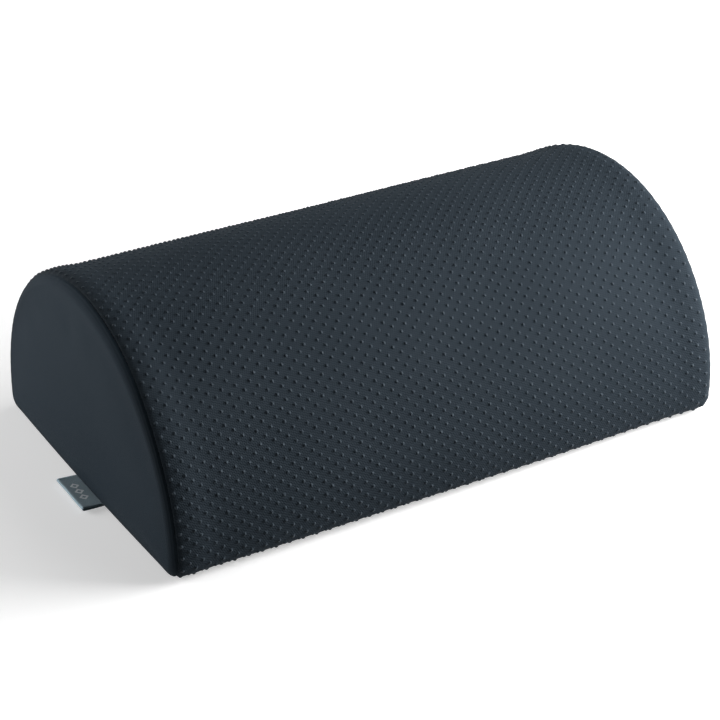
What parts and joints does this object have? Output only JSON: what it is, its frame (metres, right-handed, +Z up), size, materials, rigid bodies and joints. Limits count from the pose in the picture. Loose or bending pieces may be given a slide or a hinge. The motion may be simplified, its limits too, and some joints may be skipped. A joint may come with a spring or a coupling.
{
  "type": "bolster pillow",
  "caption": "Half-round foam bolster pillow with a flat base, a dotted knit cover, a woven loop label and a zip along the rear.",
  "frame": {"origin": "middle of the flat base, on the plane that the pillow rests on", "axes": "+X along the length, away from the end with the loop label; +Y towards the rear side with the zip; +Z up through the round back"},
  "size_m": [0.4545, 0.2782, 0.1545],
  "materials": {
    "foam": "open-cell foam, matt, off-white",
    "dotted_knit": "fine ribbed knit in anthracite with raised dots all over",
    "base_knit": "plain dense knit in anthracite",
    "end_knit": "smooth plain knit in anthracite",
    "sewing_thread": "polyester thread in anthracite",
    "zip_tape": "herringbone woven tape in anthracite",
    "zip_coil": "nylon monofilament in anthracite",
    "zip_metal": "zinc with a satin dark enamel",
    "label_ribbon": "woven satin ribbon in grey-teal with a small diamond motif"
  },
  "bodies": {
    "cushion": {"foam_core": "foam", "cover_top_panel": "dotted_knit", "cover_base_panel": "base_knit", "cover_end_left": "end_knit", "cover_end_right": "end_knit", "seam_thread_left": "sewing_thread", "seam_thread_right": "sewing_thread", "seam_thread_base": "sewing_thread", "seam_thread_rear": "sewing_thread", "zip_tape_upper": "zip_tape", "zip_tape_lower": "zip_tape", "zip_coil_upper": "zip_coil", "zip_coil_lower": "zip_coil", "zip_stitching_upper": "sewing_thread", "zip_stitching_lower": "sewing_thread", "zip_bartacks": "sewing_thread", "zip_top_stops": "zip_metal", "zip_bottom_stop": "zip_metal", "woven_label": "label_ribbon"},
    "slider": {"zip_slider": "zip_metal"},
    "pull": {"zip_pull_tab": "zip_metal"}
  },
  "joints": [
    {"name": "zip_slide", "type": "slide", "parent": "cushion", "child": "slider", "axis": [1, 0, 0], "range_m": [0, 0.3665]},
    {"name": "pull_hinge", "type": "hinge", "parent": "slider", "child": "pull", "pos_m": [-0.1836, 0.1395, 0.022], "axis": [0, 0, 1], "range_deg": [0, 178]}
  ]
}
